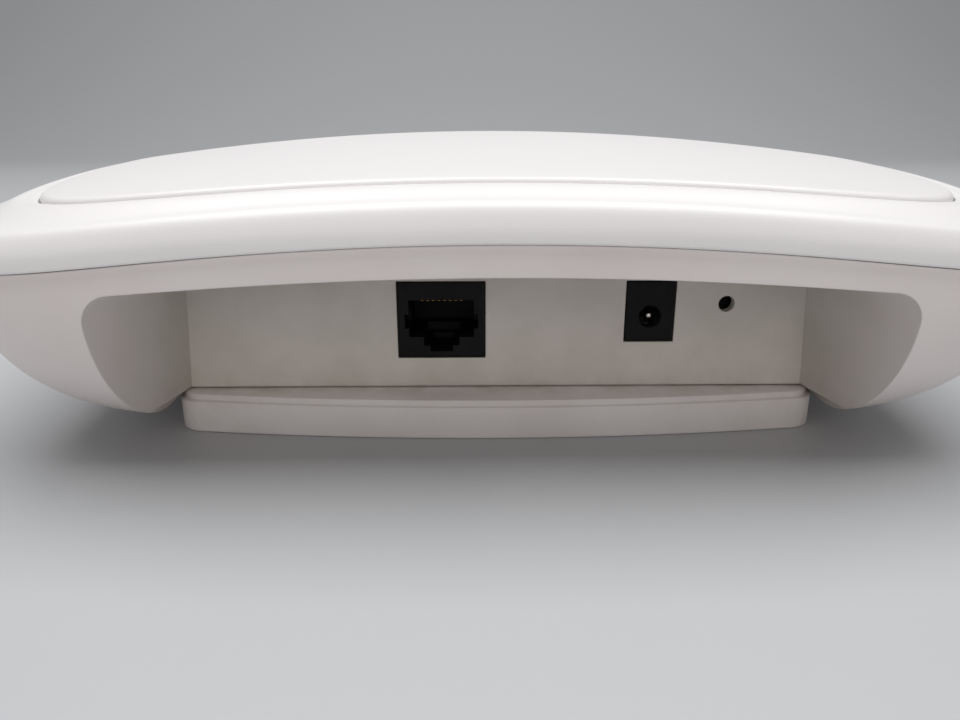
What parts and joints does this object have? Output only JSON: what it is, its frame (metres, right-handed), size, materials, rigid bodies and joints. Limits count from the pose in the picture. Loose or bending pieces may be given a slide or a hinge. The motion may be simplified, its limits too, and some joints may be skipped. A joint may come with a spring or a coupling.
{
  "type": "ceiling access point",
  "caption": "Rounded-square domed wireless access point with a cable recess for its sockets, held by a slide-on ceiling bracket.",
  "frame": {"origin": "centre of the housing in the plane of the bracket face that meets the ceiling", "axes": "+Z away from the ceiling towards the front panel, -Y out of the cable recess, +X to the right seen from the ports"},
  "size_m": [0.18, 0.18, 0.0517],
  "materials": {
    "white_shell": "satin moulded plastic, slightly warm white",
    "panel_white": "smooth satin moulded plastic, white",
    "black_jack": "fine matte moulded black",
    "board_laminate": "green solder mask over glass laminate",
    "chip_black": "matte moulded epoxy",
    "clear_plastic": "clear polished",
    "dark_sleeve": "satin shrink sleeve and ferrite",
    "gold_contact": "bright gold plating",
    "tinned_steel": "dull tin plating",
    "bare_aluminium": "satin extruded",
    "zinc_screw": "bright zinc plating"
  },
  "bodies": {
    "bracket": {"mounting_bracket": "white_shell"},
    "access_point": {"base_shell": "white_shell", "top_cover": "white_shell", "front_panel": "panel_white", "circuit_board": "board_laminate", "ethernet_jack_housing": "black_jack", "power_jack_housing": "black_jack", "power_jack_pin": "tinned_steel", "radio_shield_left": "tinned_steel", "radio_shield_right": "tinned_steel", "antenna_1": "tinned_steel", "antenna_2": "tinned_steel", "antenna_3": "tinned_steel", "antenna_4": "tinned_steel", "reset_switch_housing": "chip_black", "ethernet_transformer": "chip_black", "processor_chip": "chip_black", "memory_chip": "chip_black", "flash_chip": "chip_black", "power_inductor": "dark_sleeve", "electrolytic_capacitor_1": "dark_sleeve", "electrolytic_capacitor_2": "dark_sleeve", "heatsink": "bare_aluminium", "status_led": "clear_plastic", "light_pipe": "clear_plastic", "mounting_stud_1": "zinc_screw", "mounting_stud_2": "zinc_screw", "mounting_stud_3": "zinc_screw", "mounting_stud_4": "zinc_screw", "case_screw_1": "zinc_screw", "case_screw_2": "zinc_screw", "case_screw_3": "zinc_screw", "case_screw_4": "zinc_screw", "board_screw_1": "zinc_screw", "board_screw_2": "zinc_screw", "board_screw_3": "zinc_screw", "board_screw_4": "zinc_screw"},
    "reset_button": {"reset_button": "black_jack"},
    "ethernet_contacts": {"ethernet_contact_1": "gold_contact", "ethernet_contact_2": "gold_contact", "ethernet_contact_3": "gold_contact", "ethernet_contact_4": "gold_contact", "ethernet_contact_5": "gold_contact", "ethernet_contact_6": "gold_contact", "ethernet_contact_7": "gold_contact", "ethernet_contact_8": "gold_contact"},
    "power_jack_spring": {"power_jack_spring": "tinned_steel"}
  },
  "joints": [
    {"name": "bracket_slide", "type": "slide", "parent": "bracket", "child": "access_point", "axis": [0, 1, 0], "range_m": [-0.008, 0]},
    {"name": "reset_press", "type": "slide", "parent": "access_point", "child": "reset_button", "axis": [0, 1, 0], "range_m": [0, 0.0003], "stiffness_N_per_m": 5000, "springref_m": -0.0001},
    {"name": "ethernet_contact_flex", "type": "hinge", "parent": "access_point", "child": "ethernet_contacts", "pos_m": [-0.0101, -0.0581, 0.0231], "axis": [1, 0, 0], "range_deg": [0, 8], "stiffness_Nm_per_rad": 0.4, "springref_deg": -2.86},
    {"name": "power_spring_flex", "type": "hinge", "parent": "access_point", "child": "power_jack_spring", "pos_m": [0.0275, -0.0512, 0.0178], "axis": [1, 0, 0], "range_deg": [0, 4], "stiffness_Nm_per_rad": 0.1, "springref_deg": -2.86}
  ]
}
